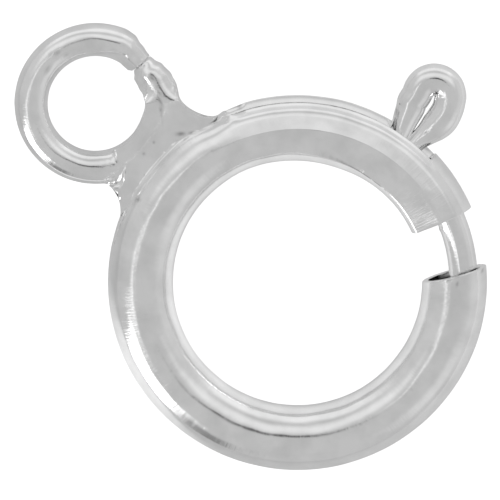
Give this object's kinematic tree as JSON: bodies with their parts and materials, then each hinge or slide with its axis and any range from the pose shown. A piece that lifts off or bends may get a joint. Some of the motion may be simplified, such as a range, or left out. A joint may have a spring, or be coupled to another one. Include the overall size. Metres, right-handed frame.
{
  "type": "spring ring clasp",
  "caption": "Spring ring clasp: a round tubular hoop whose sprung, curved bolt slides back by a wire trigger to open a gap, with a soldered eyelet for the chain's end.",
  "frame": {"origin": "centre of the hoop, on the middle plane of its tube", "axes": "+Z along the hoop's axis, up from the surface the clasp lies on; +X in the hoop's plane, towards the gap between the mouths; +Y in the hoop's plane, towards the eyelet and the trigger"},
  "size_m": [0.0075, 0.0071, 0.001],
  "materials": {
    "hoop_silver": "polished sterling silver with fine transverse polishing lines",
    "bolt_silver": "polished sterling silver wire",
    "spring_wire": "drawn spring steel wire"
  },
  "bodies": {
    "hoop_body": {"hoop": "hoop_silver", "spring": "spring_wire"},
    "bolt_body": {"bolt": "bolt_silver"}
  },
  "joints": [
    {"name": "bolt_slide", "type": "hinge", "parent": "hoop_body", "child": "bolt_body", "pos_m": [0, 0, 0], "axis": [0, 0, 1], "range_deg": [0, 50], "stiffness_Nm_per_rad": 0.002, "deforming": ["spring"]}
  ]
}
